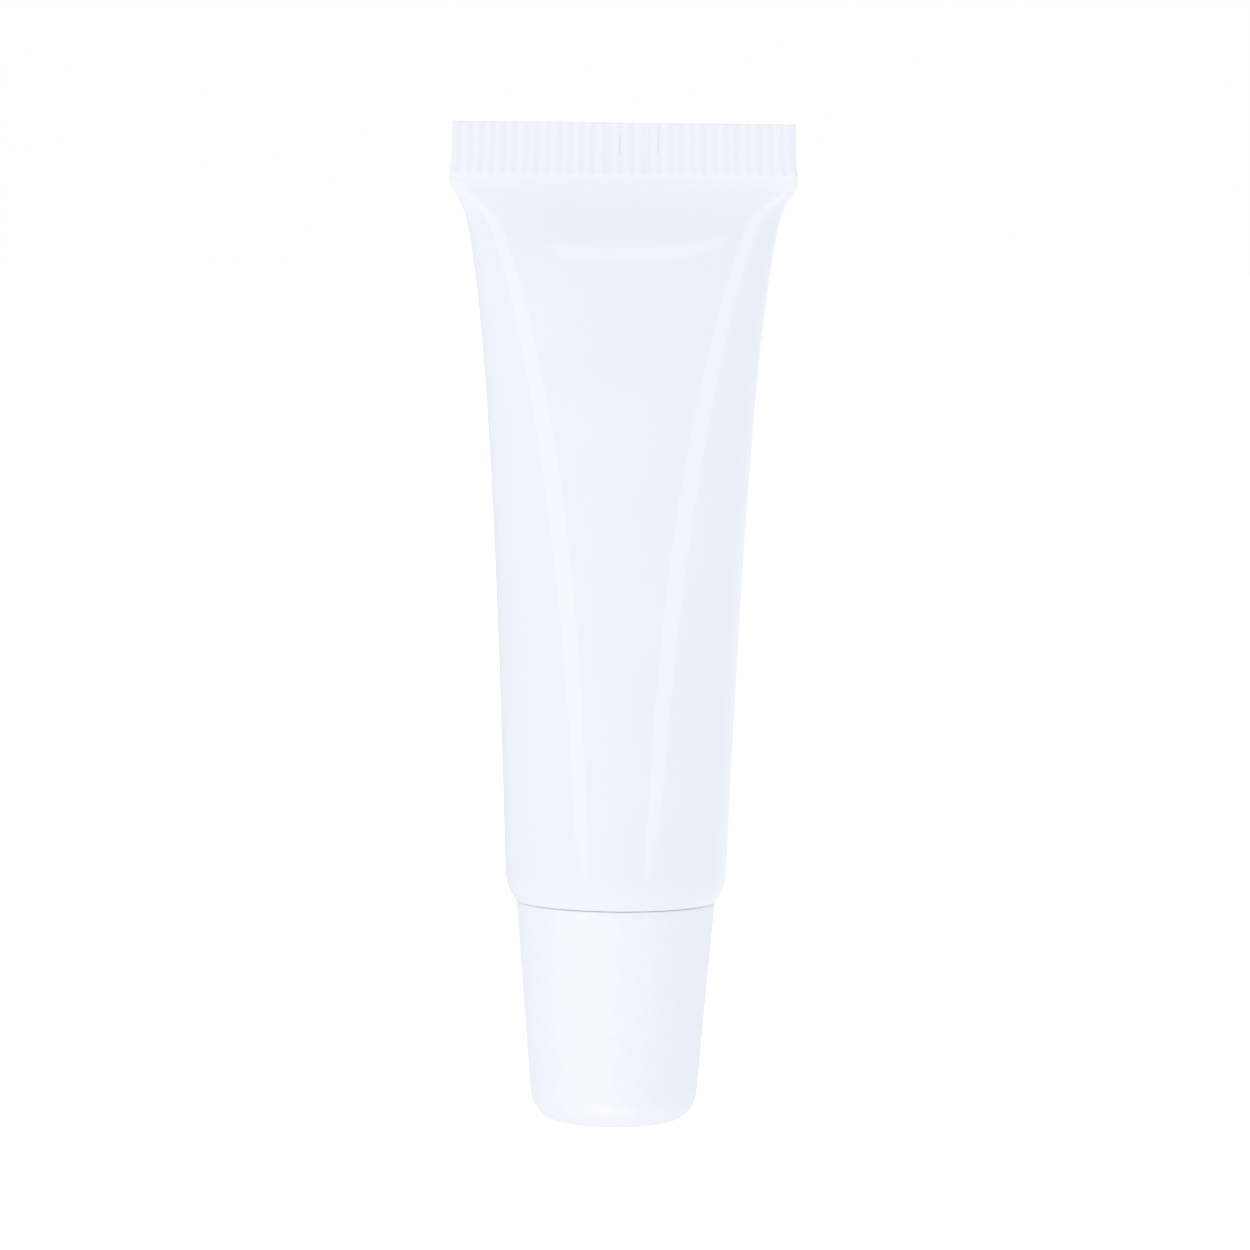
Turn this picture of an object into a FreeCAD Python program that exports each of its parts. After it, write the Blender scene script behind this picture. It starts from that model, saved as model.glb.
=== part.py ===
import FreeCAD, Part
import math
import os
import Sketcher

# A soft squeeze tube of lip balm that stands upright on its screw cap.
# Millimetres. +Z runs up from the cap's flat end to the crimped tail of the tube, X runs along the
# width of the tail, and the front of the tube faces -Y. The origin is the middle of the cap's end.
#
# Five pieces: the sleeve, the moulded head with its thread and slanted nozzle, the balm in the
# sleeve, the balm standing in the nozzle, and the screw cap. The tube hangs nozzle down, so the
# head's sizes below are counted down from its shoulder, and the sleeve's are counted up from it.

doc = FreeCAD.newDocument("SqueezeTube")

# ---------------------------------------------------------------- driving dimensions

SIZES = [
    ("cap_height", 19.4, "flat end to rim"),
    ("cap_taper", 1.63, "how much narrower the cap is at its end than at its rim, on each side"),
    ("cap_end_radius", 2.8, "rounding between the tapered wall and the flat end"),
    ("cap_wall", 1.1, "outer shell"),
    ("cap_rim_radius", 0.12, "rounding of the rim"),
    ("cap_floor", 1.4, "end wall under the nozzle's socket"),
    ("cap_gap_floor", 3.0, "height of the floor of the ring gap between shell and socket"),
    ("socket_wall", 1.15, "wall round the nozzle"),
    ("socket_recess", 0.4, "socket's mouth below the cap's rim"),
    ("gate_diameter", 2.4, "moulding recess in the flat end"),
    ("gate_depth", 0.25, "moulding recess in the flat end"),
    ("pin_diameter", 1.7, "sealing pin, where it fills the orifice"),
    ("pin_entry", 1.0, "how far the pin passes the middle of the slanted face"),
    ("pin_tip_length", 2.6, "thin upper length of the pin"),
    ("pin_stem_diameter", 2.8, "thicker foot of the pin"),
    ("pin_fit", 0.05, "radial clearance of the pin in the orifice"),
    ("seam_gap", 0.05, "between the cap's rim and the tube's shoulder"),
    ("seam_step", 0.04, "how far the shoulder stands out past the rim"),
    ("neck_diameter", 9.4, "root of the thread"),
    ("neck_length", 6.3, "threaded length below the shoulder"),
    ("bore_clearance", 0.25, "between the neck or the nozzle and the socket"),
    ("thread_height", 0.6, "radial height of a ridge"),
    ("thread_root", 1.2, "width of a ridge at the neck"),
    ("thread_crest", 0.6, "width of a ridge at its crest"),
    ("thread_lead", 5.0, "rise of the tube in one turn of the thread, which has two starts"),
    ("thread_turns", 0.78, "turns of each ridge"),
    ("thread_inset", 0.8, "lower end of the neck to the lowest ridge's middle"),
    ("thread_clearance", 0.15, "all round a ridge in its groove"),
    ("nozzle_root_diameter", 8.7, "just below the neck"),
    ("nozzle_tip_diameter", 7.7, "at the far end"),
    ("nozzle_length", 15.5, "shoulder to the tip's lowest point"),
    ("nozzle_edge_radius", 0.35, "rounding of the slanted end"),
    ("slant_angle", 45, "slanted face from the tube's axis, degrees"),
    ("bore_diameter", 6.4, "passage in the neck"),
    ("bore_tip_diameter", 5.2, "passage at its narrow end"),
    ("tip_wall", 1.0, "least wall between the passage and the slanted face"),
    ("shoulder_thickness", 1.2, "disc that closes the sleeve"),
    ("tube_diameter", 19.2, "sleeve where it is round"),
    ("tube_wall", 0.5, "sleeve"),
    ("tube_length", 63.2, "shoulder to the crease under the crimp"),
    ("corner_turn_in", 0.85, "how far the rounded corner has turned in where it ends"),
    ("corner_radius", 4.0, "outer rounding where the sleeve turns in to the shoulder"),
    ("weld_clearance", 0.1, "between the head's disc and the sleeve"),
    ("pinch_length", 12.0, "length over which the crimp pulls the sleeve flat"),
    ("width_pinch", 0.16, "share of the widening that the pinch makes"),
    ("width_power", 0.49, "how the rest of the widening builds up"),
    ("width_hollow", 1.88, "length of the soft turn from the crimp's side to the sleeve's"),
    ("width_softness", 2.13, "how softly that turn starts"),
    ("thickness_pinch", 0.2, "share of the flattening that the pinch makes"),
    ("thickness_power", 0.403, "how the rest of the flattening builds up"),
    ("thickness_hollow", 1.86, "length of the hollow curve from the crease out to the sleeve's face"),
    ("thickness_softness", 1.25, "how softly that curve starts"),
    ("crease_fullness", 0.886, "handle length of the section's quarter curves at the crease"),
    ("fullness_power", 2.16, "how the section turns from round to full towards the crease"),
    ("crease_ledge", 0.1, "step from the sleeve's face to the crimp's, on each face"),
    ("crimp_height", 4.85, "crease to the tail's edge"),
    ("crimp_thickness", 1.0, "both walls pressed together, over the ribs"),
    ("crimp_spread", 0.22, "how far the crimp's foot is squeezed out on each side"),
    ("spread_length", 2.3, "height over which that runs out, above and below the crease"),
    ("crimp_corner", 0.35, "cut of the tail's two corners"),
    ("plain_band", 0.4, "unribbed strip above the crease"),
    ("rib_depth", 0.15, "grooves between the ribs, on each face"),
    ("rib_width", 0.52, "one rib"),
    ("rib_pitch", 0.967, "from rib to rib"),
    ("rib_land", 1.42, "pitch across the two wide grooves beside the middle group"),
    ("middle_ribs", 3, "ribs between the two wide grooves"),
    ("middle_offset", 0.265, "middle group off the tube's axis"),
    ("balm_clearance", 0.1, "between the balm and the walls round it"),
    ("balm_height", 44.0, "depth of the balm in the sleeve, from the head's disc"),
    ("balm_gap", 0.4, "between the balm in the nozzle and the end of its passage"),
]

sheet = doc.addObject("Spreadsheet::Sheet", "Sizes")
for row, (alias, size, note) in enumerate(SIZES, start=1):
    sheet.set(f"A{row}", alias)
    sheet.set(f"B{row}", str(size))
    sheet.setAlias(f"B{row}", alias)
    sheet.set(f"C{row}", note)
doc.recompute()


def num(expression):
    """The value of an expression over the sheet's cells, in millimetres."""
    return float(sheet.evalExpression(expression))


# Heights and radii that several pieces share, as expressions over the cells.
SHOULDER = "(Sizes.cap_height + Sizes.seam_gap)"
DISC_TOP = f"({SHOULDER} + Sizes.shoulder_thickness)"
CREASE = f"({SHOULDER} + Sizes.tube_length)"
TAIL = f"({CREASE} + Sizes.crimp_height)"
NECK_END = f"({SHOULDER} - Sizes.neck_length)"
NOZZLE_END = f"({SHOULDER} - Sizes.nozzle_length)"
TUBE_RADIUS = "(Sizes.tube_diameter / 2)"
SHOULDER_RADIUS = f"({TUBE_RADIUS} - Sizes.corner_turn_in)"
CAP_RIM_RADIUS = f"({SHOULDER_RADIUS} - Sizes.seam_step)"
NECK_RADIUS = "(Sizes.neck_diameter / 2)"
TIP_RADIUS = "(Sizes.nozzle_tip_diameter / 2)"
CREST_RADIUS = f"({NECK_RADIUS} + Sizes.thread_height)"
# Pressed flat, the middle of the sleeve's wall keeps its length.
TAIL_HALF_WIDTH = "(pi * (Sizes.tube_diameter - Sizes.tube_wall) / 4 + Sizes.tube_wall / 2)"
ORIFICE_RADIUS = "(Sizes.pin_diameter / 2 + Sizes.pin_fit)"
THREAD_PITCH = "(Sizes.thread_lead / 2)"
FIRST_RIDGE = f"({NECK_END} + Sizes.thread_inset)"
# The slanted face meets the tube's axis here, with its low side towards +X.
SLANT_MIDDLE = f"({NOZZLE_END} + {TIP_RADIUS} / tan(Sizes.slant_angle * 1 deg))"

# The passage stops short of the slanted face by the tip's wall.
PASSAGE_END = (
    f"({SLANT_MIDDLE} + Sizes.bore_tip_diameter / 2 / tan(Sizes.slant_angle * 1 deg)"
    " + Sizes.tip_wall / sin(Sizes.slant_angle * 1 deg))"
)

# How far a cutter reaches past the surface that it opens.
PAST = "1"

# Handle length of a quarter curve that is a circle's quarter, as a share of its radius.
ROUND = 4 / 3 * (math.sqrt(2) - 1)

# How closely the sleeve's smooth surface is held, round the corner and up the tube.
CORNER_SECTIONS = 4
TUBE_SECTIONS = 20
MERGE = 0.2  # sections nearer than this to an end are left out

# ---------------------------------------------------------------- helpers


def origin_plane(body, role):
    """One of the body's own origin planes."""
    return next(f for f in body.Origin.OriginFeatures if f.Role == role)


def new_body(label):
    body = doc.addObject("PartDesign::Body", label)
    body.Label = label
    return body


def polygon(body, name, corners, role="XZ_Plane"):
    """A sketch of one closed outline, each corner held by two expressions."""
    sketch = body.newObject("Sketcher::SketchObject", name)
    sketch.AttachmentSupport = [(origin_plane(body, role), "")]
    sketch.MapMode = "FlatFace"
    places = [FreeCAD.Vector(num(x), num(y), 0) for x, y in corners]
    count = len(places)
    for i in range(count):
        sketch.addGeometry(Part.LineSegment(places[i], places[(i + 1) % count]))
    for i in range(count):
        sketch.addConstraint(Sketcher.Constraint("Coincident", i, 2, (i + 1) % count, 1))
    for i, (corner, place) in enumerate(zip(corners, places)):
        for kind, expression, start in zip(("DistanceX", "DistanceY"), corner, place):
            held = sketch.addConstraint(Sketcher.Constraint(kind, -1, 1, i, 1, start))
            sketch.setExpression(f"Constraints[{held}]", expression)
    return sketch


def turned(body, kind, name, corners):
    """A PartDesign Revolution or Groove of an outline about the tube's axis."""
    sketch = polygon(body, name + "Outline", corners)
    feature = body.newObject(f"PartDesign::{kind}", name)
    feature.Profile = sketch
    feature.ReferenceAxis = (sketch, ["V_Axis"])
    feature.Angle = 360
    doc.recompute()
    return feature


def helices(body, kind, name, corners, rise):
    """The two ridges or grooves of a thread with two starts: the given section wound right-handed
    up the tube's axis, from the +X side and again from the -X side."""
    for start, side in (("First", "1"), ("Second", "-1")):
        points = [(f"({x} * ({side}))", z) for x, z in corners]
        sketch = polygon(body, f"{name}{start}Section", points)
        ridge = body.newObject(f"PartDesign::{kind}", name + start)
        ridge.Profile = sketch
        ridge.ReferenceAxis = (sketch, ["V_Axis"])
        ridge.Mode = "pitch-height-angle"
        ridge.setExpression("Pitch", "Sizes.thread_lead")
        ridge.setExpression("Height", rise)
        doc.recompute()


def slab(body, name, corners, thickness):
    """A pad of an outline in the XZ plane, as thick on the front as on the back."""
    pad = body.newObject("PartDesign::Pad", name)
    pad.Profile = polygon(body, name + "Outline", corners)
    pad.Midplane = True
    pad.setExpression("Length", thickness)
    doc.recompute()
    return pad


def rounded(body, name, radius, wanted):
    """A fillet of the edges of the body's tip that the test picks."""
    tip = body.Tip
    names = [f"Edge{i}" for i, edge in enumerate(tip.Shape.Edges, start=1) if wanted(edge)]
    fillet = body.newObject("PartDesign::Fillet", name)
    fillet.Base = (tip, names)
    fillet.setExpression("Radius", radius)
    doc.recompute()
    return fillet


def circle_at(height, radius):
    """A test for the level circle of this height and radius."""
    z, r = num(height), num(radius)

    def test(edge):
        curve = edge.Curve
        level = isinstance(curve, Part.Circle) and abs(curve.Center.z - z) < 1e-4
        return level and abs(curve.Radius - r) < 1e-4

    return test


# ---------------------------------------------------------------- screw cap


def cap_radius(height, inset="0"):
    """Radius of the cap's tapered wall at a height, or of a surface inset from it."""
    drop = f"(Sizes.cap_height - ({height}))"
    return f"({CAP_RIM_RADIUS} - Sizes.cap_taper * {drop} / Sizes.cap_height - ({inset}))"


def make_cap():
    """Tapered outer shell with a rounded end, and inside it the nozzle's socket with the thread in
    its mouth and the sealing pin on its floor. One moulding."""
    body = new_body("screw_cap")
    rim = "Sizes.cap_height"
    mouth = f"({rim} - Sizes.socket_recess)"
    gap_floor = "Sizes.cap_gap_floor"
    floor = "Sizes.cap_floor"
    bore = f"({NECK_RADIUS} + Sizes.bore_clearance)"
    bore_end = f"({NECK_END} - Sizes.bore_clearance)"
    groove = f"({CREST_RADIUS} + Sizes.thread_clearance)"
    foot = f"({TIP_RADIUS} + Sizes.bore_clearance)"
    narrow = f"(Sizes.nozzle_root_diameter / 2 + Sizes.bore_clearance)"
    collar = f"({groove} + Sizes.socket_wall - Sizes.thread_clearance)"
    step = f"({bore_end} - ({bore} - {narrow}))"
    turned(body, "Revolution", "Shell", [
        ("0", "0"),
        (cap_radius("0"), "0"),
        (cap_radius(rim), rim),
        (cap_radius(rim, "Sizes.cap_wall"), rim),
        (cap_radius(gap_floor, "Sizes.cap_wall"), gap_floor),
        (f"({foot} + Sizes.socket_wall)", gap_floor),
        (collar, step),
        (collar, mouth),
        ("0", mouth),
    ])
    # The grooves start one pitch under the neck's ridges, in step with them, and run out of the
    # mouth. They are wound in the still solid middle, which the socket then opens.
    start = f"({FIRST_RIDGE} - {THREAD_PITCH})"
    half_root = "(Sizes.thread_root / 2 + Sizes.thread_clearance)"
    half_crest = "(Sizes.thread_crest / 2 + Sizes.thread_clearance)"
    inner = f"({narrow} - Sizes.thread_height)"
    helices(body, "SubtractiveHelix", "ThreadGroove", [
        (inner, f"({start} - {half_root})"),
        (NECK_RADIUS, f"({start} - {half_root})"),
        (groove, f"({start} - {half_crest})"),
        (groove, f"({start} + {half_crest})"),
        (NECK_RADIUS, f"({start} + {half_root})"),
        (inner, f"({start} + {half_root})"),
    ], f"({mouth} + Sizes.thread_root - {start})")
    turned(body, "Groove", "Socket", [
        ("0", f"({mouth} + {PAST})"),
        (groove, f"({mouth} + {PAST})"),
        (groove, mouth),
        (bore, f"({mouth} - ({groove} - {bore}))"),
        (bore, bore_end),
        (narrow, step),
        (foot, floor),
        ("0", floor),
    ])
    pin = "(Sizes.pin_diameter / 2)"
    stem = "(Sizes.pin_stem_diameter / 2)"
    bevel = f"({pin} / 3)"
    pin_top = f"({SLANT_MIDDLE} + Sizes.pin_entry)"
    stem_top = f"({pin_top} - Sizes.pin_tip_length)"
    turned(body, "Revolution", "Pin", [
        ("0", f"({floor} / 2)"),
        (stem, f"({floor} / 2)"),
        (stem, f"({stem_top} - ({stem} - {pin}))"),
        (pin, stem_top),
        (pin, f"({pin_top} - {bevel})"),
        (f"({pin} - {bevel})", pin_top),
        ("0", pin_top),
    ])
    turned(body, "Groove", "Gate", [
        ("0", f"-{PAST}"),
        ("Sizes.gate_diameter / 2", f"-{PAST}"),
        ("Sizes.gate_diameter / 2", "Sizes.gate_depth"),
        ("0", "Sizes.gate_depth"),
    ])
    rounded(body, "EndRounding", "Sizes.cap_end_radius", circle_at("0", cap_radius("0")))
    rounded(body, "RimRounding", "Sizes.cap_rim_radius", circle_at(rim, cap_radius(rim)))
    return body


# ---------------------------------------------------------------- head


def make_head():
    """Disc that closes the sleeve, threaded neck and slanted nozzle with its passage and orifice.
    One moulding."""
    body = new_body("tube_head")
    inset = "(Sizes.tube_wall + Sizes.weld_clearance)"
    corner = f"(Sizes.corner_radius - {inset})"
    corner_middle = f"({TUBE_RADIUS} - Sizes.corner_radius)"
    drop = f"sqrt(Sizes.corner_radius ^ 2 - ({SHOULDER_RADIUS} - {corner_middle}) ^ 2)"

    def disc_radius(height):
        """Radius that follows the inside of the sleeve's rounded corner at a height above the
        shoulder."""
        return f"({corner_middle} + sqrt({corner} ^ 2 - ({drop} - ({height})) ^ 2))"

    disc_steps = 4
    rims = [f"(Sizes.shoulder_thickness * {i} / {disc_steps})" for i in range(disc_steps + 1)]
    disc = [(disc_radius(rise), f"({SHOULDER} + {rise})") for rise in rims]
    root = "(Sizes.nozzle_root_diameter / 2)"
    turned(body, "Revolution", "DiscAndNozzle", [
        ("0", NOZZLE_END),
        (TIP_RADIUS, NOZZLE_END),
        (root, f"({NECK_END} - ({NECK_RADIUS} - {root}))"),
        (NECK_RADIUS, NECK_END),
        (NECK_RADIUS, SHOULDER),
    ] + disc + [("0", DISC_TOP)])
    half_root = "(Sizes.thread_root / 2)"
    half_crest = "(Sizes.thread_crest / 2)"
    inner = f"({NECK_RADIUS} - Sizes.thread_height / 2)"
    helices(body, "AdditiveHelix", "Thread", [
        (inner, f"({FIRST_RIDGE} - {half_root})"),
        (CREST_RADIUS, f"({FIRST_RIDGE} - {half_crest})"),
        (CREST_RADIUS, f"({FIRST_RIDGE} + {half_crest})"),
        (inner, f"({FIRST_RIDGE} + {half_root})"),
    ], f"(Sizes.thread_lead * Sizes.thread_turns)")
    reach = f"({TIP_RADIUS} + Sizes.tip_wall)"
    run = "tan(Sizes.slant_angle * 1 deg)"
    slant = body.newObject("PartDesign::Pocket", "Slant")
    slant.Profile = polygon(body, "SlantOutline", [
        (reach, f"({SLANT_MIDDLE} - {reach} / {run})"),
        (f"(-{reach})", f"({SLANT_MIDDLE} + {reach} / {run})"),
        (f"(-{reach})", f"({SLANT_MIDDLE} - {reach} / {run})"),
    ])
    slant.Type = "ThroughAll"
    slant.Midplane = True
    doc.recompute()
    rounded(body, "SlantRounding", "Sizes.nozzle_edge_radius", lambda e: isinstance(e.Curve, Part.Ellipse))
    turned(body, "Groove", "Passage", [
        ("0", f"({DISC_TOP} + {PAST})"),
        ("Sizes.bore_diameter / 2", f"({DISC_TOP} + {PAST})"),
        ("Sizes.bore_diameter / 2", DISC_TOP),
        ("Sizes.bore_tip_diameter / 2", PASSAGE_END),
        (ORIFICE_RADIUS, PASSAGE_END),
        (ORIFICE_RADIUS, NOZZLE_END),
        ("0", NOZZLE_END),
    ])
    return body


# ---------------------------------------------------------------- sleeve


def tube_section(height):
    """Half width, half thickness and fullness of the sleeve at a height above the shoulder: round
    at the shoulder, flat at the crease, with nearly the same girth all the way."""
    length = num("Sizes.tube_length")
    below = min((length - height) / length, 1)
    pinch = num("Sizes.pinch_length") / length

    def flow(share, power):
        pinched = (1 - math.exp(-below / pinch)) / (1 - math.exp(-1 / pinch))
        return share * pinched + (1 - share) * below ** power

    radius = num(TUBE_RADIUS)
    tail, seal = num(TAIL_HALF_WIDTH), num("Sizes.crimp_thickness / 2 + Sizes.crease_ledge")
    under = below * length
    width = flow(num("Sizes.width_pinch"), num("Sizes.width_power"))
    width *= 1 - math.exp(-(under / num("Sizes.width_hollow")) ** num("Sizes.width_softness"))
    thickness = flow(num("Sizes.thickness_pinch"), num("Sizes.thickness_power"))
    thickness *= 1 - math.exp(-(under / num("Sizes.thickness_hollow")) ** num("Sizes.thickness_softness"))
    full = (1 - below) ** num("Sizes.fullness_power")
    fullness = ROUND + (num("Sizes.crease_fullness") - ROUND) * full
    fade = max(1 - under / num("Sizes.spread_length"), 0)
    spread = num("Sizes.crimp_spread") * fade * fade * (3 - 2 * fade)
    return tail + (radius - tail) * width + spread, seal + (radius - seal) * thickness, fullness


def corner_drop():
    """Height of the sleeve's rounded corner above the shoulder."""
    radius = num("Sizes.corner_radius")
    return math.sqrt(radius ** 2 - (num(SHOULDER_RADIUS) - num(TUBE_RADIUS) + radius) ** 2)


def skin_outline(height, inset):
    """A closed wire round the sleeve at a height above the shoulder, inset from its outer surface:
    four quarter curves that meet square to the axes."""
    half_width, half_thickness, fullness = tube_section(height)
    radius = num("Sizes.corner_radius") - inset
    under = max(corner_drop() - height, 0)
    inset += radius - math.sqrt(radius ** 2 - under ** 2)
    side = FreeCAD.Vector(half_width - inset, 0, 0)
    face = FreeCAD.Vector(0, half_thickness - inset, 0)
    level = FreeCAD.Vector(0, 0, num(SHOULDER) + height)
    quarters = []
    for start, end in ((side, face), (face, -side), (-side, -face), (-face, side)):
        leaving, arriving = start + fullness * end, end + fullness * start
        curve = Part.BezierCurve()
        curve.setPoles([level + start, level + leaving, level + arriving, level + end])
        quarters.append(curve.toShape())
    return Part.Wire(quarters)


def tube_form(label, inset, low, high):
    """A solid of the sleeve's form, inset from its outer surface, between two heights above the
    shoulder. The sections lie closer together where the form bends most: round the corner and under
    the crease."""
    corner, straight = corner_drop(), num("Sizes.tube_length") - corner_drop()
    levels = [corner * i / CORNER_SECTIONS for i in range(CORNER_SECTIONS)]
    for i in range(TUBE_SECTIONS + 1):
        levels.append(corner + straight * (1 - math.cos(math.pi * i / TUBE_SECTIONS)) / 2)
    inner = sorted(level for level in levels if low + MERGE < level < high - MERGE)
    wires = [skin_outline(level, inset) for level in [low] + inner + [high]]
    form = doc.addObject("Part::Feature", label)
    form.Label = label
    solid, ruled, closed, degree = True, False, False, 3
    form.Shape = Part.makeLoft(wires, solid, ruled, closed, degree)
    return form


def make_crimp():
    """The tail, pressed flat: a thin web, a plain band above the crease, and upright ribs that stand
    out equally on both faces."""
    body = new_body("Crimp")
    foot = f"({TAIL_HALF_WIDTH} + Sizes.crimp_spread)"
    band = f"({CREASE} + Sizes.plain_band)"
    fade = f"({CREASE} + Sizes.spread_length)"
    cut = "Sizes.crimp_corner"
    # The crimp is rooted in the solid end of the sleeve.
    root = "(Sizes.tube_wall / 2)"
    lower = [
        (f"(-{foot})", CREASE),
        (f"(-{foot} + 2 * {root})", f"({CREASE} - {root})"),
        (f"({foot} - 2 * {root})", f"({CREASE} - {root})"),
        (foot, CREASE),
    ]
    slab(body, "Web", lower + [
        (TAIL_HALF_WIDTH, fade),
        (TAIL_HALF_WIDTH, f"({TAIL} - {cut})"),
        (f"({TAIL_HALF_WIDTH} - {cut})", TAIL),
        (f"(-({TAIL_HALF_WIDTH} - {cut}))", TAIL),
        (f"(-{TAIL_HALF_WIDTH})", f"({TAIL} - {cut})"),
        (f"(-{TAIL_HALF_WIDTH})", fade),
    ], "Sizes.crimp_thickness - 2 * Sizes.rib_depth")
    narrowed = f"({foot} - Sizes.crimp_spread * Sizes.plain_band / Sizes.spread_length)"
    slab(body, "PlainBand", lower + [(narrowed, band), (f"(-{narrowed})", band)], "Sizes.crimp_thickness")
    middle = "(Sizes.middle_offset - (Sizes.middle_ribs - 1) / 2 * Sizes.rib_pitch)"
    right = f"({middle} + (Sizes.middle_ribs - 1) * Sizes.rib_pitch + Sizes.rib_land)"
    left = f"({middle} - Sizes.rib_land)"
    # Each outer group fills its side with whole ribs.
    room = f"({TAIL_HALF_WIDTH} - Sizes.rib_width)"
    groups = [
        ("LeftRibs", left, f"(1 + floor(({room} + {left}) / Sizes.rib_pitch))", True),
        ("MiddleRibs", middle, "Sizes.middle_ribs", False),
        ("RightRibs", right, f"(1 + floor(({room} - {right}) / Sizes.rib_pitch))", False),
    ]
    for name, first, count, leftward in groups:
        rib = slab(body, name + "First", [
            (f"({first} - Sizes.rib_width / 2)", f"({band} - Sizes.rib_depth)"),
            (f"({first} + Sizes.rib_width / 2)", f"({band} - Sizes.rib_depth)"),
            (f"({first} + Sizes.rib_width / 2)", TAIL),
            (f"({first} - Sizes.rib_width / 2)", TAIL),
        ], "Sizes.crimp_thickness")
        row = body.newObject("PartDesign::LinearPattern", name)
        row.Originals = [rib]
        row.Direction = (rib.Profile[0], ["H_Axis"])
        row.Reversed = leftward
        row.setExpression("Length", f"({count} - 1) * Sizes.rib_pitch")
        row.setExpression("Occurrences", count)
        body.Tip = row
        doc.recompute()
    return body


def make_sleeve():
    """The extruded sleeve: open and turned in at the shoulder, pressed shut at the tail."""
    hollow_top = num("Sizes.tube_length - Sizes.tube_wall")
    outside = tube_form("SleeveOutside", 0, 0, num("Sizes.tube_length"))
    wall = num("Sizes.tube_wall")
    inside = tube_form("SleeveInside", wall, -wall / 2, hollow_top)
    shell = doc.addObject("Part::Cut", "SleeveShell")
    shell.Base = outside
    shell.Tool = inside
    sleeve = doc.addObject("Part::Fuse", "tube_sleeve")
    sleeve.Base = shell
    sleeve.Tool = make_crimp()
    sleeve.Label = "tube_sleeve"
    return sleeve


# ---------------------------------------------------------------- balm


def make_balm():
    """The balm in the sleeve, standing on the head's disc."""
    bottom = num("Sizes.shoulder_thickness")
    inset = num("Sizes.tube_wall + Sizes.balm_clearance")
    return tube_form("balm", inset, bottom, bottom + num("Sizes.balm_height"))


def make_nozzle_balm():
    """The balm standing in the nozzle's passage, a plain tapered plug."""
    body = new_body("nozzle_balm")
    end = f"({PASSAGE_END} + Sizes.balm_gap)"
    taper = f"((Sizes.bore_diameter - Sizes.bore_tip_diameter) / 2 / ({DISC_TOP} - {PASSAGE_END}))"
    turned(body, "Revolution", "Plug", [
        ("0", end),
        (f"(Sizes.bore_tip_diameter / 2 + {taper} * Sizes.balm_gap - Sizes.balm_clearance)", end),
        ("(Sizes.bore_diameter / 2 - Sizes.balm_clearance)", DISC_TOP),
        ("0", DISC_TOP),
    ])
    return body


# ---------------------------------------------------------------- build, check, write

pieces = [make_cap(), make_head(), make_sleeve(), make_balm(), make_nozzle_balm()]
doc.recompute()

for item in doc.Objects:
    if "Invalid" in item.State or "Error" in item.State:
        raise RuntimeError(f"{item.Name} did not build: {item.State}")

os.makedirs("parts", exist_ok=True)
for piece in pieces:
    shape = piece.Shape
    if shape.isNull() or not shape.isValid() or len(shape.Solids) != 1:
        raise RuntimeError(f"{piece.Label} is not one valid solid")
    shape.exportStep(f"parts/{piece.Label}.step")
    print(f"{piece.Label}: {shape.Volume:.1f} mm3")
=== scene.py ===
import math

import bpy
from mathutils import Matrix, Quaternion, Vector


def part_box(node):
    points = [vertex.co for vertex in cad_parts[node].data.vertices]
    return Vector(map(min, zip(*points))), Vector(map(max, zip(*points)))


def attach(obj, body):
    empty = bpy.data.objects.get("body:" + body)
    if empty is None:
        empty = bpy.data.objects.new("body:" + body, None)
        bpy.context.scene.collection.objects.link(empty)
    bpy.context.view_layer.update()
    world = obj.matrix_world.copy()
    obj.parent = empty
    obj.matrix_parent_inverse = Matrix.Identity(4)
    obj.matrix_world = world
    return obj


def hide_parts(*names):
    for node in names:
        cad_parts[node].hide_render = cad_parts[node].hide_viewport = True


# A soft squeeze tube of lip balm standing on its screw cap, in plain studio light.
# Sizes here are in millimetres, as in the CAD model, and MM turns them into metres. The sleeve is
# rebuilt as one smooth mesh. The cap, the head, the balm and the nozzle's balm are the CAD model's
# own pieces, and get their materials here.

MM = 0.001

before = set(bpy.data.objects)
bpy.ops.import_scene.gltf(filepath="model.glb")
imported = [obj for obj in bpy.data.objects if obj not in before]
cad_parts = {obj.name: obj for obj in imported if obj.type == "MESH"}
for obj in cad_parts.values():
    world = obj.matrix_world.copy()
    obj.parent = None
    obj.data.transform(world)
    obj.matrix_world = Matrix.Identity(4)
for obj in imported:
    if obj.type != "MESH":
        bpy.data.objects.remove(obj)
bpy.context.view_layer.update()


def box_of(node):
    """Lowest and highest corner of a CAD node, in millimetres."""
    low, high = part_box(node)
    return Vector(low) / MM, Vector(high) / MM


# ---------------------------------------------------------------- the sleeve's form

sleeve_low, sleeve_high = box_of("tube_sleeve")

SHOULDER = sleeve_low.z
TAIL = sleeve_high.z
CRIMP_HEIGHT = 4.85
CREASE = TAIL - CRIMP_HEIGHT
LENGTH = CREASE - SHOULDER

RADIUS = 9.6
WALL = 0.5
# Pressed flat, the middle of the sleeve's wall keeps its length.
TAIL_HALF_WIDTH = math.pi * (RADIUS - WALL / 2) / 2 + WALL / 2
CORNER_RADIUS = 4.0
CORNER_TURN_IN = 0.85

# Share of the widening and of the flattening that the crimp's pinch makes, and how the rest
# builds up.
PINCH = 12.0
WIDTH_PINCH, WIDTH_POWER = 0.16, 0.49
THICKNESS_PINCH, THICKNESS_POWER = 0.2, 0.403
SEAL = 0.5
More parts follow.
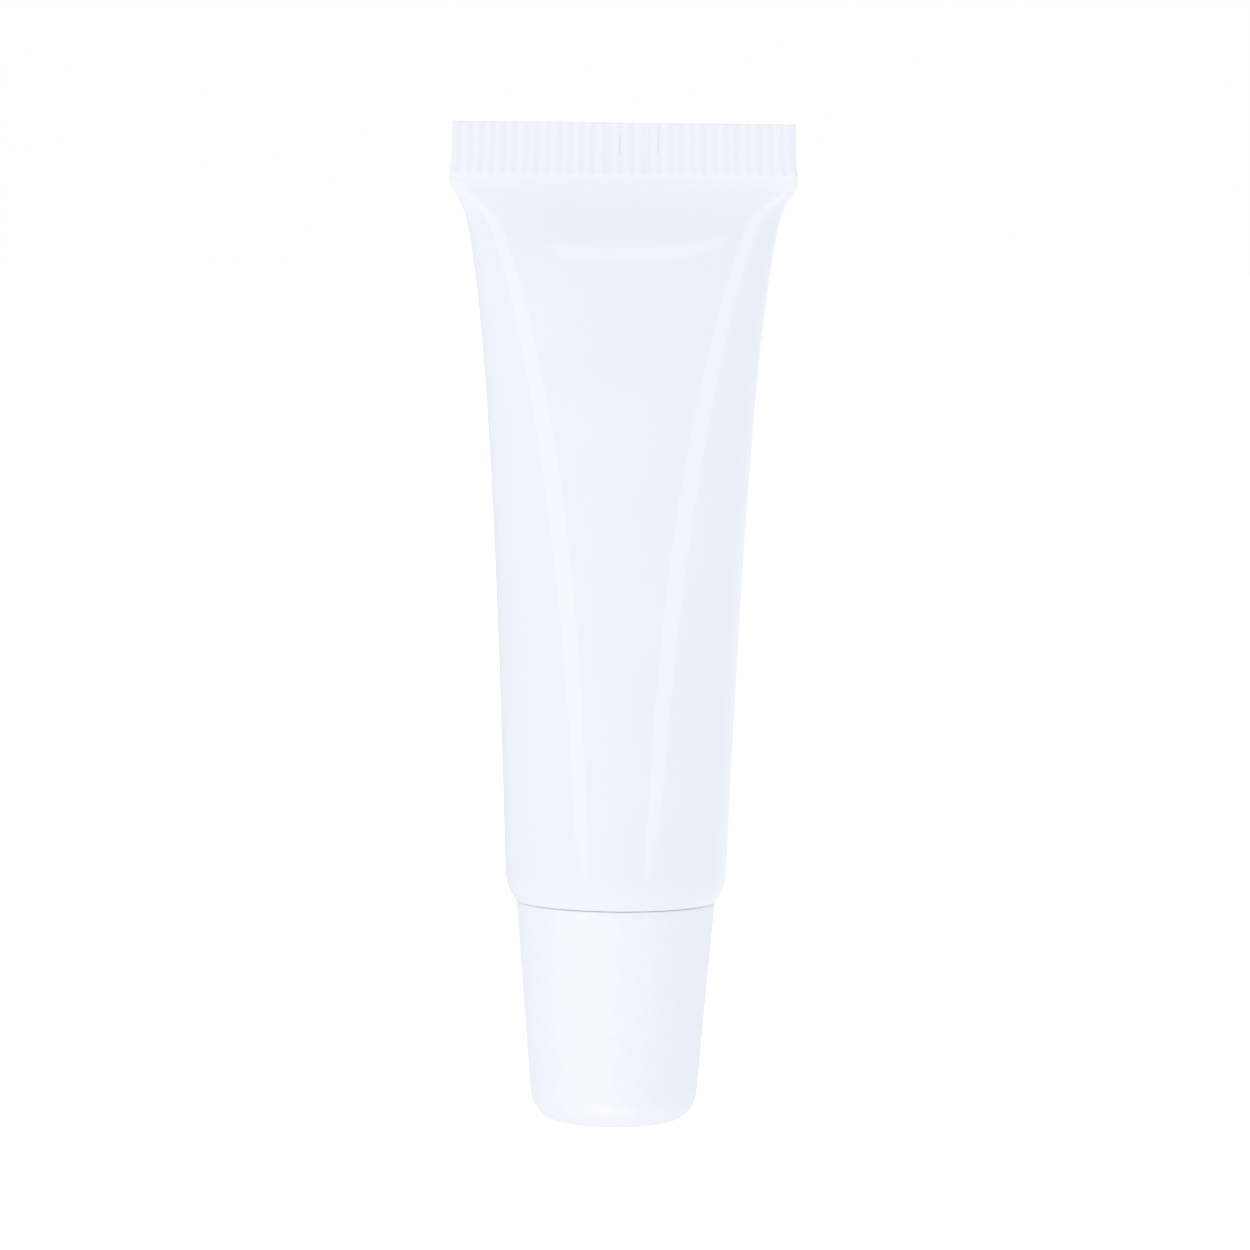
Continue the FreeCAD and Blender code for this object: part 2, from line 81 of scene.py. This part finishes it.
# Lengths of the soft turns from the crimp out to the sleeve's sides and to its faces.
WIDTH_HOLLOW, WIDTH_SOFTNESS = 1.88, 2.13
THICKNESS_HOLLOW, THICKNESS_SOFTNESS = 1.86, 1.25
ROUND = 4 / 3 * (math.sqrt(2) - 1)
CREASE_FULLNESS, FULLNESS_POWER = 0.886, 2.16
# How far the two walls part at the least, and how far they have parted where the flat-sided
# section of the crimp has become the rounded one of the sleeve.
LEAST_PARTING = 0.01
ROUNDED_PARTING = 0.8

# The crimp: a plain band above the crease, then upright grooves up to the tail's edge. Its foot is
# squeezed out a little on each side, and its sides and the tail's edge are rounded.
CRIMP_HALF = 0.5
CRIMP_SPREAD, SPREAD_LENGTH = 0.22, 2.3
EDGE_ROUND = 0.16
TAIL_ROUND = 0.12
BAND = 0.4
GROOVE_DEPTH = 0.08
GROOVE_SOFT = 0.2
RIB_WIDTH = 0.52
RIB_PITCH = 0.967
RIB_LAND = 1.42
MIDDLE_OFFSET = 0.265
MIDDLE_RIBS = 3
SIDE_RIBS = 13
# Two fine slits beside ribs, each with the rises of its lower and upper ends above the crease.
SLIT_ASIDE = 0.34
SLIT_HALF = 0.03
SLIT_DEPTH = 0.07
SLIT_END = 0.3
MIDDLE_SLIT = (2.2, 4.2)
RIGHT_SLIT = (2.15, 4.6)


def smooth(t):
    """Rises from 0 to 1 with level ends."""
    t = min(max(t, 0.0), 1.0)
    return t * t * (3 - 2 * t)


def foot_spread(rise):
    """How far the crimp's foot is squeezed out on each side, at a height above the crease."""
    return CRIMP_SPREAD * smooth(1 - abs(rise) / SPREAD_LENGTH)


def section(height):
    """Half width, half thickness and fullness of the sleeve at a height above the shoulder."""
    below = min((LENGTH - height) / LENGTH, 1.0)
    pinch = PINCH / LENGTH

    def flow(share, power):
        pinched = (1 - math.exp(-below / pinch)) / (1 - math.exp(-1 / pinch))
        return share * pinched + (1 - share) * below ** power

    under = below * LENGTH

    def turned(length, softness):
        return 1 - math.exp(-(under / length) ** softness)

    width = flow(WIDTH_PINCH, WIDTH_POWER) * turned(WIDTH_HOLLOW, WIDTH_SOFTNESS)
    half_width = TAIL_HALF_WIDTH + (RADIUS - TAIL_HALF_WIDTH) * width + foot_spread(under)
    thickness = flow(THICKNESS_PINCH, THICKNESS_POWER)
    hollow = turned(THICKNESS_HOLLOW, THICKNESS_SOFTNESS)
    half_thickness = SEAL + (RADIUS - SEAL) * thickness * hollow
    fullness = ROUND + (CREASE_FULLNESS - ROUND) * (1 - below) ** FULLNESS_POWER
    return half_width, half_thickness, fullness


def corner_inset(height):
    """How far the rounded corner at the shoulder has turned in at a height above it."""
    drop = math.sqrt(CORNER_RADIUS ** 2 - (CORNER_RADIUS - CORNER_TURN_IN) ** 2)
    under = max(drop - height, 0.0)
    return CORNER_RADIUS - math.sqrt(CORNER_RADIUS ** 2 - under ** 2)


def quarter_point(half_width, half_thickness, fullness, t, offset):
    """A point of a section's quarter curve, from the side at t = 0 to the face at t = 1, set off
    square to the curve."""
    s = 1 - t
    x = half_width * (s ** 3 + 3 * s * s * t + 3 * s * t * t * fullness)
    y = half_thickness * (t ** 3 + 3 * t * t * s + 3 * t * s * s * fullness)
    along_x = -half_width * (6 * s * t * (1 - fullness) + 3 * t * t * fullness)
    along_y = half_thickness * (6 * s * t * (1 - fullness) + 3 * s * s * fullness)
    length = math.hypot(along_x, along_y)
    return x + offset * along_y / length, y - offset * along_x / length


# ---------------------------------------------------------------- the crimp's grooves


def rib_middles():
    """X of the middle of each rib, left to right: an outer group, three, and an outer group."""
    first = MIDDLE_OFFSET - (MIDDLE_RIBS - 1) / 2 * RIB_PITCH
    middle = [first + i * RIB_PITCH for i in range(MIDDLE_RIBS)]
    left = [middle[0] - RIB_LAND - i * RIB_PITCH for i in range(SIDE_RIBS)]
    right = [middle[-1] + RIB_LAND + i * RIB_PITCH for i in range(SIDE_RIBS)]
    return sorted(left + middle + right)


def grooves():
    """Middle and half width of each groove between two ribs, and of the last one at each side."""
    ribs = rib_middles()
    ribs = [ribs[0] - RIB_PITCH] + ribs + [ribs[-1] + RIB_PITCH]
    return [((a + b) / 2, (b - a - RIB_WIDTH) / 2) for a, b in zip(ribs, ribs[1:])]


GROOVES = grooves()


def groove_share(x, rise):
    """How far into a groove a place on the crimp's face is, from 0 on the ribs and the plain band
    to 1 on the groove's floor. A groove has a rounded lower end and runs out at the tail."""
    middle, half = min(GROOVES, key=lambda g: max(abs(x - g[0]) - g[1], 0))
    corner = min(half, RIB_PITCH / 4)
    across = abs(x - middle) - (half - corner)
    down = BAND + corner - rise
    outside = math.hypot(max(across, 0), max(down, 0)) + min(max(across, down), 0) - corner
    return smooth(0.5 - outside / GROOVE_SOFT)


def slits():
    """X, lower end and upper end of each slit: beside the first rib of the middle group and of the
    right one."""
    ribs = rib_middles()
    middle, right = ribs[SIDE_RIBS], ribs[SIDE_RIBS + MIDDLE_RIBS]
    return [(middle + SLIT_ASIDE, *MIDDLE_SLIT), (right + SLIT_ASIDE, *RIGHT_SLIT)]


SLITS = slits()


def slit_share(x, rise):
    """How far into a slit a place on the crimp's front is, from 0 beside it to 1 on its floor."""
    share = 0.0
    for middle, low, high in SLITS:
        across = 1 - smooth((abs(x - middle) - SLIT_HALF) / SLIT_HALF)
        along = smooth((rise - low) / SLIT_END) * smooth((high - rise) / SLIT_END)
        share = max(share, across * along)
    return share


# ---------------------------------------------------------------- columns and rows of the mesh


# Places of the columns on a groove's flank and on a slit, as shares of the flank's width and of
# the slit's half width, and the least room between a column and the rounded side.
FLANK_STEPS = (-0.6, -0.2, 0.2, 0.6)
SLIT_STEPS = (-2, -1, 1, 2)
SIDE_ROOM = 0.1


def across_stations():
    """X places of the mesh's columns on one face: close together on the grooves' flanks and the
    slits."""
    places = [0.0] + rib_middles()
    for middle, half in GROOVES:
        places.append(middle)
        for edge in (middle - half, middle + half):
            places += [edge + step * GROOVE_SOFT for step in FLANK_STEPS]
    for middle, low, high in SLITS:
        places += [middle + step * SLIT_HALF for step in SLIT_STEPS]
    limit = TAIL_HALF_WIDTH - EDGE_ROUND
    inner = {round(place, 4) for place in places if abs(round(place, 4)) < limit - SIDE_ROOM}
    return [-limit] + sorted(inner) + [limit]


STATIONS = across_stations()
EDGE_STEPS = 6
# Share of a quarter of the girth that lies on the rounding of the crimp's side.
EDGE_SHARE = EDGE_ROUND / TAIL_HALF_WIDTH


def columns():
    """Every column once round the sleeve, as (kind, sign, station, turn): the front face from
    right to left, the left edge, the back face from left to right, and the right edge. The sign is
    the face's side in Y or the edge's side in X."""
    ring = [("face", -1, x, 0.0) for x in reversed(STATIONS)]
    turns = [-1 + 2 * i / EDGE_STEPS for i in range(1, EDGE_STEPS)]
    ring += [("edge", -1, STATIONS[0], turn) for turn in turns]
    ring += [("face", 1, x, 0.0) for x in STATIONS]
    ring += [("edge", 1, STATIONS[-1], -turn) for turn in turns]
    return ring


RING = columns()


def flat_point(kind, sign, x, turn, half_width, half_thickness):
    """A column's place in a flat section with rounded sides."""
    if kind == "face":
        return x * (half_width - EDGE_ROUND) / STATIONS[-1], sign * half_thickness
    angle = turn * math.pi / 2
    side = half_width - EDGE_ROUND + EDGE_ROUND * math.cos(angle)
    return sign * side, half_thickness * math.sin(angle)


def body_ring(height, inset=0.0, ring=RING):
    """The sleeve's section at a height above the shoulder: the two walls lie on each other at the
    crease and part below it round a hollow."""
    half_width, half_thickness, fullness = section(height)
    inset += corner_inset(height)
    parting = max(half_thickness - WALL, LEAST_PARTING)
    flat = 1 - smooth(parting / ROUNDED_PARTING)
    points = []
    for kind, sign, x, turn in ring:
        if kind == "face":
            share = 1 - abs(x) / TAIL_HALF_WIDTH
            side, face = math.copysign(1, x), sign
        else:
            share = abs(turn) * EDGE_SHARE
            side, face = sign, math.copysign(1, turn)
        px, py = quarter_point(half_width - WALL, parting, fullness, share, WALL - inset)
        qx, qy = flat_point(kind, sign, x, turn, half_width - inset, parting + WALL - inset)
        place = (side * px * (1 - flat) + qx * flat, face * py * (1 - flat) + qy * flat)
        points.append(Vector((*place, SHOULDER + height)))
    return points


def crimp_ring(rise, shrink=0.0):
    """The crimp's section at a height above the crease, made smaller all round by a shrink."""
    half_width = TAIL_HALF_WIDTH + foot_spread(rise) - shrink
    points = []
    for kind, sign, x, turn in RING:
        depth = CRIMP_HALF - shrink - GROOVE_DEPTH * groove_share(x, rise)
        if (kind, sign) == ("face", -1):
            depth -= SLIT_DEPTH * slit_share(x, rise)
        points.append(Vector((*flat_point(kind, sign, x, turn, half_width, depth), CREASE + rise)))
    return points


# Rings of the body: how many lie on the rounded corner, on the even part above it and under the
# crease, the steps between them, and how strongly the last ones crowd towards the crease.
CORNER_RINGS, CORNER_STEP = 12, 0.25
STRAIGHT_RINGS, STRAIGHT_STEP = 49, 1.15
PINCH_RINGS, PINCH_CROWDING = 24, 1.8


def body_heights():
    """Heights of the body's rings: close at the rounded corner and ever closer to the crease."""
    corner = [CORNER_STEP * i for i in range(CORNER_RINGS)]
    start = CORNER_STEP * CORNER_RINGS
    straight = [start + STRAIGHT_STEP * i for i in range(STRAIGHT_RINGS)]
    last = straight[-1]
    shares = [1 - (1 - i / PINCH_RINGS) ** PINCH_CROWDING for i in range(1, PINCH_RINGS + 1)]
    return corner + straight + [last + (LENGTH - last) * share for share in shares]


# Rings of the crimp: on the plain band, at the grooves' lower ends, up the ribs from a start above
# the band, and on the rounding of the tail's edge.
BAND_RINGS, BAND_STEP = 4, 0.1
GROOVE_END_RINGS, GROOVE_END_STEP = 10, 0.05
RIB_RINGS, RIB_START, RIB_STEP = 8, 0.65, 0.51
TAIL_STEPS = 4


def crimp_rises():
    """Heights of the crimp's rings above the crease, each with how much smaller the ring is all
    round: close at the grooves' lower ends and at the tail's rounded edge."""
    rises = [BAND_STEP * i for i in range(BAND_RINGS)]
    rises += [BAND + GROOVE_END_STEP * i for i in range(GROOVE_END_RINGS)]
    rises += [BAND + RIB_START + RIB_STEP * i for i in range(RIB_RINGS)]
    rings = [(rise, 0.0) for rise in rises]
    for i in range(1, TAIL_STEPS + 1):
        angle = i / TAIL_STEPS * math.pi / 2
        drop = TAIL_ROUND * (1 - math.sin(angle))
        rings.append((CRIMP_HEIGHT - drop, TAIL_ROUND * (1 - math.cos(angle))))
    return rings


# The inner wall has one column for every few of the outer ones, and its own heights.
INNER_STEP = 8
INNER_HEIGHTS = (
    0.0, 0.7, 1.4, 2.2, 3.0, 8.0, 16.0, 24.0, 32.0, 40.0, 47.0, 53.0, 57.5, 60.0, 61.5, 62.5,
)
# Faces that meet at more than this angle, in degrees, keep a sharp edge between them.
SHARP_ANGLE = 38


def ring_faces(start, rings, count, inward=False):
    """Faces between rings of points that follow each other from a first point, closed round."""
    faces = []
    for r in range(rings - 1):
        low, high = start + r * count, start + (r + 1) * count
        for i in range(count):
            j = (i + 1) % count
            if inward:
                faces.append((low + i, low + j, high + j, high + i))
            else:
                faces.append((low + i, high + i, high + j, low + j))
    return faces


def tail_faces(top):
    """The tail's edge over the outer surface's last ring: front and back columns joined across,
    and the two rounded sides as fans."""
    half = len(STATIONS)
    back = half + EDGE_STEPS - 1
    faces = []
    for i in range(half - 1):
        front_a, front_b = top + i, top + i + 1
        back_a, back_b = top + back + half - 1 - i, top + back + half - 2 - i
        faces.append((front_a, back_a, back_b, front_b))
    left = [top + half - 1 + k for k in range(EDGE_STEPS + 1)]
    right = [top + back + half - 1 + k for k in range(EDGE_STEPS)] + [top]
    return faces + [tuple(left)[::-1], tuple(right)[::-1]]


def lip_faces(start, coarse):
    """The lip at the shoulder, between the outer surface's first ring and the inner wall's."""
    count, small = len(RING), len(coarse)
    faces = []
    for i, column in enumerate(coarse):
        following = coarse[i + 1] if i + 1 < small else count
        lip = [k % count for k in range(column, following + 1)]
        faces.append((start + (i + 1) % small, start + i, *lip))
    return faces


def make_sleeve():
    """The sleeve: outer surface, crimp, tail's edge, inner wall, and the lip that joins the two
    walls at the shoulder. Each point keeps how far into a groove it is."""
    count = len(RING)
    rings = [body_ring(height) for height in body_heights()]
    shares = [0.0] * len(rings) * count
    for rise, shrink in crimp_rises():
        rings.append(crimp_ring(rise, shrink))
        shares += [groove_share(x, rise) for kind, sign, x, turn in RING]
    faces = ring_faces(0, len(rings), count)
    faces += tail_faces((len(rings) - 1) * count)

    coarse = list(range(0, count, INNER_STEP))
    inner_ring = [RING[i] for i in coarse]
    start = len(rings) * count
    rings += [body_ring(height, WALL, inner_ring) for height in INNER_HEIGHTS]
    faces += ring_faces(start, len(INNER_HEIGHTS), len(coarse), inward=True)
    faces += lip_faces(start, coarse)
    last = start + (len(INNER_HEIGHTS) - 1) * len(coarse)
    faces.append(tuple(last + i for i in range(len(coarse))))
    points = [point * MM for ring in rings for point in ring]
    shares += [0.0] * (len(points) - len(shares))

    mesh = bpy.data.meshes.new("sleeve")
    mesh.from_pydata(points, [], faces)
    mesh.attributes.new("groove", "FLOAT", "POINT").data.foreach_set("value", shares)
    mesh.validate()
    mesh.update()
    mesh.shade_smooth()
    mesh.set_sharp_from_angle(angle=math.radians(SHARP_ANGLE))
    sleeve = bpy.data.objects.new("sleeve", mesh)
    bpy.context.scene.collection.objects.link(sleeve)
    return sleeve


# ---------------------------------------------------------------- materials


def math_node(tree, operation, *values):
    """A Math node over some values, each a socket or a number. Returns its output."""
    node = tree.nodes.new("ShaderNodeMath")
    node.operation = operation
    for value, socket in zip(values, node.inputs):
        if isinstance(value, (int, float)):
            socket.default_value = value
        else:
            tree.links.new(value, socket)
    return node.outputs[0]


class Nodes:
    """A short hand for building a material's node tree."""

    def __init__(self, name):
        self.material = bpy.data.materials.new(name)
        self.material.use_nodes = True
        self.tree = self.material.node_tree
        self.shader = self.tree.nodes["Principled BSDF"]
        self.coordinates = self.add("ShaderNodeTexCoord")

    def add(self, kind, **settings):
        node = self.tree.nodes.new(kind)
        for key, value in settings.items():
            setattr(node, key, value)
        return node

    def link(self, source, target):
        self.tree.links.new(source, target)

    def noise(self, size_mm, detail=2.0, stretch=(1, 1, 1)):
        """Noise whose features are about this size, stretched along an axis where a factor is
        below 1."""
        mapping = self.add("ShaderNodeMapping")
        mapping.inputs["Scale"].default_value = stretch
        self.link(self.coordinates.outputs["Object"], mapping.inputs["Vector"])
        noise = self.add("ShaderNodeTexNoise")
        noise.inputs["Scale"].default_value = 1 / (size_mm * MM)
        noise.inputs["Detail"].default_value = detail
        self.link(mapping.outputs["Vector"], noise.inputs["Vector"])
        return noise.outputs["Fac"]

    def between(self, factor, low, high, start=0.3, end=0.7, kind="LINEAR"):
        """A number that runs from low to high as the factor runs from start to end."""
        spread = self.add("ShaderNodeMapRange", interpolation_type=kind)
        spread.inputs["From Min"].default_value = start
        spread.inputs["From Max"].default_value = end
        spread.inputs["To Min"].default_value = low
        spread.inputs["To Max"].default_value = high
        self.link(factor, spread.inputs["Value"])
        return spread.outputs["Result"]

    def math(self, operation, *values):
        return math_node(self.tree, operation, *values)

    def tint(self, factor, first, second, start=0.35, end=0.65):
        """Colours the surface from the first to the second with the noise. Returns the colour."""
        ramp = self.add("ShaderNodeValToRGB")
        for element, place, colour in zip(
            ramp.color_ramp.elements, (start, end), (first, second)
        ):
            element.position = place
            element.color = (*colour, 1)
        self.link(factor, ramp.inputs["Fac"])
        self.link(ramp.outputs["Color"], self.shader.inputs["Base Color"])
        return ramp.outputs["Color"]

    def over(self, colour, factor, second):
        """Lays a second colour over the surface's by a factor."""
        mix = self.add("ShaderNodeMix", data_type="RGBA")
        self.link(factor, mix.inputs["Factor"])
        self.link(colour, mix.inputs["A"])
        mix.inputs["B"].default_value = (*second, 1)
        self.link(mix.outputs["Result"], self.shader.inputs["Base Color"])

    def roughness(self, factor, low, high):
        self.link(self.between(factor, low, high), self.shader.inputs["Roughness"])

    def bump(self, *layers):
        """Bumps laid over each other, each a noise and its height in millimetres."""
        normal = None
        for factor, height in layers:
            bump = self.add("ShaderNodeBump")
            bump.inputs["Strength"].default_value = 1.0
            bump.inputs["Distance"].default_value = height * MM
            self.link(factor, bump.inputs["Height"])
            if normal:
                self.link(normal, bump.inputs["Normal"])
            normal = bump.outputs["Normal"]
        self.link(normal, self.shader.inputs["Normal"])


def sleeve_plastic():
    """Gloss white soft plastic with the faint waviness of an extruded sleeve. Towards the crease
    it has
    a fine grain, and painted light: a lifted colour in place of the light that the bulging body
    keeps off the hollow under the crease and the crimp's band. On the crimp it is dull, and the
    lift is smaller on the ribs and none on the groove floors, which paints shade into the grooves."""
    nodes = Nodes("sleeve_plastic")
    plain = nodes.tint(nodes.noise(9), (0.85, 0.876, 0.953), (0.86, 0.886, 0.963))
    split = nodes.add("ShaderNodeSeparateXYZ")
    nodes.link(nodes.coordinates.outputs["Object"], split.inputs["Vector"])

    def rising(low, high, start, end, kind="LINEAR"):
        """A number that runs from low to high between two rises above the crease."""
        start, end = (CREASE + start) * MM, (CREASE + end) * MM
        return nodes.between(split.outputs["Z"], low, high, start, end, kind)

    # Painted light: the colour is lifted towards the crease and on the crimp's band, in place of
    # light that the bulging body keeps off. The lift is smaller on the ribs and none on the groove
    # floors, which paints shade into the grooves.
    near_crease = rising(0, 1, -5, -0.2, "SMOOTHSTEP")
    ribbed = rising(1, 0.4, BAND - 0.1, BAND + 0.3)
    groove = nodes.add("ShaderNodeAttribute", attribute_name="groove").outputs["Fac"]
    raised = nodes.between(groove, 1, 0, 0, 1)
    share = nodes.math("MULTIPLY", nodes.math("MULTIPLY", near_crease, ribbed), raised)
    # The lifted colour of the painted light, laid over the plain colour by the share.
    nodes.over(plain, share, (0.905, 0.932, 1.0))
    glossy = nodes.between(nodes.noise(2.5), 0.03, 0.05)
    dull = rising(0, 0.3, -0.3, 0.3)
    nodes.link(nodes.math("ADD", glossy, dull), nodes.shader.inputs["Roughness"])
    grain = nodes.math("MULTIPLY", nodes.noise(0.16, 3), near_crease)
    nodes.bump((nodes.noise(6, 1), 0.002), (nodes.noise(0.5), 0.0002), (grain, 0.002))
    nodes.shader.inputs["IOR"].default_value = 1.5
    return nodes.material


def cap_plastic():
    """Satin white moulded plastic with the fine grain of an eroded mould."""
    nodes = Nodes("cap_plastic")
    nodes.tint(nodes.noise(0.3, 2, (0.6, 0.6, 1)), (0.846, 0.871, 0.95), (0.866, 0.891, 0.97))
    nodes.roughness(nodes.noise(1.5), 0.46, 0.56)
    nodes.bump((nodes.noise(0.3, 3), 0.003))
    nodes.shader.inputs["IOR"].default_value = 1.49
    nodes.shader.inputs["Specular IOR Level"].default_value = 0.8
    return nodes.material


def head_plastic():
    """Smooth white moulded plastic, with faint flow marks along the nozzle."""
    nodes = Nodes("head_plastic")
    nodes.tint(nodes.noise(5, 2, (1, 1, 0.3)), (0.79, 0.80, 0.85), (0.81, 0.82, 0.87))
    nodes.roughness(nodes.noise(1.2), 0.2, 0.28)
    nodes.bump((nodes.noise(0.3), 0.001))
    nodes.shader.inputs["IOR"].default_value = 1.5
    return nodes.material


def balm_wax():
    """Soft ivory balm, slightly cloudy and uneven."""
    nodes = Nodes("balm")
    nodes.tint(nodes.noise(3, 3), (0.80, 0.70, 0.50), (0.86, 0.78, 0.60))
    nodes.roughness(nodes.noise(0.8, 3), 0.28, 0.5)
    nodes.bump((nodes.noise(1.5, 3), 0.03))
    nodes.shader.inputs["IOR"].default_value = 1.45
    nodes.shader.inputs["Subsurface Weight"].default_value = 0.3
    nodes.shader.inputs["Subsurface Scale"].default_value = 1.5 * MM
    return nodes.material


def finish_node(node, material):
    """Gives a CAD node's slots a material."""
    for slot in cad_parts[node].material_slots:
        slot.material = material


# ---------------------------------------------------------------- floor, light and camera


def is_seen(tree):
    """1 for rays that show a background: seen straight, in gloss or through something clear."""
    path = tree.nodes.new("ShaderNodeLightPath")
    total = path.outputs["Is Camera Ray"]
    for name in ("Is Glossy Ray", "Is Transmission Ray"):
        total = math_node(tree, "MAXIMUM", total, path.outputs[name])
    return total


def make_world(ambient, rise, gloss, table, corners, shade):
    """A pale studio: white where it is seen, with a plain light that is a little stronger from
    below, as over a white table. In reflections it is a little cooler and less bright than white.
    There it is brighter towards the table, and brighter in front on the left and behind on the
    right. The shade limits how much darker its other two corners are."""
    world = bpy.data.worlds.new("studio")
    bpy.context.scene.world = world
    world.use_nodes = True
    tree = world.node_tree
    tree.nodes.clear()

    def background(colour, strength):
        node = tree.nodes.new("ShaderNodeBackground")
        node.inputs["Color"].default_value = (*colour, 1)
        if strength:
            tree.links.new(strength, node.inputs["Strength"])
        return node.outputs[0]

    def mixed(factor, first, second):
        node = tree.nodes.new("ShaderNodeMixShader")
        tree.links.new(factor, node.inputs["Fac"])
        tree.links.new(first, node.inputs[1])
        tree.links.new(second, node.inputs[2])
        return node.outputs[0]

    path = tree.nodes.new("ShaderNodeLightPath")
    coordinates = tree.nodes.new("ShaderNodeTexCoord")
    direction = tree.nodes.new("ShaderNodeSeparateXYZ")
    tree.links.new(coordinates.outputs["Generated"], direction.inputs["Vector"])
    x, y, z = direction.outputs
    corner = math_node(tree, "MAXIMUM", math_node(tree, "MULTIPLY", x, y), -shade)
    level = math_node(tree, "MULTIPLY_ADD", z, -table, gloss)
    level = math_node(tree, "MULTIPLY_ADD", corner, corners, level)
    light = background((1, 1, 1), math_node(tree, "MULTIPLY_ADD", z, -rise, ambient))
    mirrored = background((0.93, 0.955, 1.0), level)
    plain = background((1, 1, 1), None)
    seen = mixed(path.outputs["Is Glossy Ray"], plain, mirrored)
    output = tree.nodes.new("ShaderNodeOutputWorld")
    tree.links.new(mixed(is_seen(tree), light, seen), output.inputs["Surface"])


def make_floor(size, drop, lift):
    """A pale floor that runs into the white background and keeps the object's soft shadow. The
    lift is what it adds to its own light where it is seen."""
    half = size / 2
    corners = [(-half, -half, 0), (half, -half, 0), (half, half, 0), (-half, half, 0)]
    mesh = bpy.data.meshes.new("floor")
    mesh.from_pydata([Vector(corner) * MM for corner in corners], [], [(0, 1, 2, 3)])
    floor = bpy.data.objects.new("floor", mesh)
    floor.location.z = -drop * MM
    bpy.context.scene.collection.objects.link(floor)
    material = bpy.data.materials.new("floor")
    material.use_nodes = True
    tree = material.node_tree
    tree.nodes.clear()
    output = tree.nodes.new("ShaderNodeOutputMaterial")
    paint = tree.nodes.new("ShaderNodeBsdfDiffuse")
    paint.inputs["Color"].default_value = (0.92, 0.92, 0.92, 1)
    glow = tree.nodes.new("ShaderNodeEmission")
    both = tree.nodes.new("ShaderNodeAddShader")
    strength = math_node(tree, "MULTIPLY", is_seen(tree), lift)
    tree.links.new(strength, glow.inputs["Strength"])
    tree.links.new(paint.outputs[0], both.inputs[0])
    tree.links.new(glow.outputs[0], both.inputs[1])
    tree.links.new(both.outputs[0], output.inputs["Surface"])
    mesh.materials.append(material)
    # It only shows the shadow: the pale studio all round lights the tube from below as well.
    floor.visible_diffuse = False
    floor.visible_glossy = False
    floor.visible_shadow = False


LAMP_DISTANCE = 900


def area_light(
    name, azimuth, elevation, width, height, radiance, colour=(1, 1, 1), turn=0, gloss=True,
    thing=None,
):
    """A rectangular lamp that faces the tube's middle. Azimuth 0 is in front of the tube, at -Y,
    and turns towards +X. A turn lifts the lamp's right end. The lamp is seen in gloss alone, or
    gives soft light alone, and may be kept to one thing."""
    lamp = bpy.data.lights.new(name, "AREA")
    lamp.shape = "RECTANGLE"
    lamp.size = width * MM
    lamp.size_y = height * MM
    # The power that gives the lamp's face its radiance.
    lamp.energy = 4 * lamp.size * lamp.size_y * radiance
    lamp.color = colour
    a, e = math.radians(azimuth), math.radians(elevation)
    away = Vector((math.sin(a) * math.cos(e), -math.cos(a) * math.cos(e), math.sin(e)))
    target = Vector((0, 0, TAIL / 2)) * MM
    light = bpy.data.objects.new(name, lamp)
    light.location = target + away * LAMP_DISTANCE * MM
    light.rotation_mode = "QUATERNION"
    facing = away.to_track_quat("Z", "Y")
    light.rotation_quaternion = facing @ Quaternion((0, 0, 1), math.radians(turn))
    light.visible_camera = False
    if gloss:
        light.visible_diffuse = False
    else:
        light.visible_glossy = False
    bpy.context.scene.collection.objects.link(light)
    if thing:
        lit = bpy.data.collections.new(name)
        lit.objects.link(thing)
        light.light_linking.receiver_collection = lit


def make_camera(distance, height, aim_height, aside, lens, roll):
    """In front of the tube, a little above it and looking slightly down."""
    data = bpy.data.cameras.new("camera")
    data.sensor_width = 36.0
    data.lens = lens
    camera = bpy.data.objects.new("camera", data)
    place = Vector((aside, -distance, height)) * MM
    aim = Vector((aside, 0, aim_height)) * MM
    camera.location = place
    camera.rotation_mode = "QUATERNION"
    look = (aim - place).to_track_quat("-Z", "Y")
    camera.rotation_quaternion = look @ Quaternion((0, 0, 1), math.radians(roll))
    bpy.context.scene.collection.objects.link(camera)
    bpy.context.scene.camera = camera


# ---------------------------------------------------------------- the scene

sleeve = make_sleeve()
sleeve.data.materials.append(sleeve_plastic())
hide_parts("tube_sleeve")
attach(sleeve, "tube")

finish_node("screw_cap", cap_plastic())
finish_node("tube_head", head_plastic())
wax = balm_wax()
finish_node("balm", wax)
finish_node("nozzle_balm", wax)

make_world(ambient=0.94, rise=0.07, gloss=0.92, table=0.12, corners=0.4, shade=0.15)
make_floor(size=4000, drop=0.02, lift=0.4)
area_light("left_strip", -34.2, 20.8, 220, 800, 1.02, (1.0, 0.48, 0.47))
area_light("right_strip", 36.1, 20.8, 235, 800, 0.71)
area_light("top_strip", 4.1, 33.5, 330, 85, 0.55, turn=1)
area_light("left_soft", -25, -5, 600, 900, 0.36, gloss=False)
# The satin cap shows a wide sheen on its left and a little light from below.
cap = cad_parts["screw_cap"]
area_light("cap_sheen", -47, -8, 1350, 900, 0.5, (1.0, 0.64, 0.64), thing=cap)
area_light("cap_low", -8, -50, 800, 600, 1.3, (1.0, 0.7, 0.55), thing=cap)
make_camera(distance=690, height=100.56, aim_height=43.66, aside=0.55, lens=227.98, roll=0.64)

bpy.context.scene.view_settings.view_transform = "Standard"
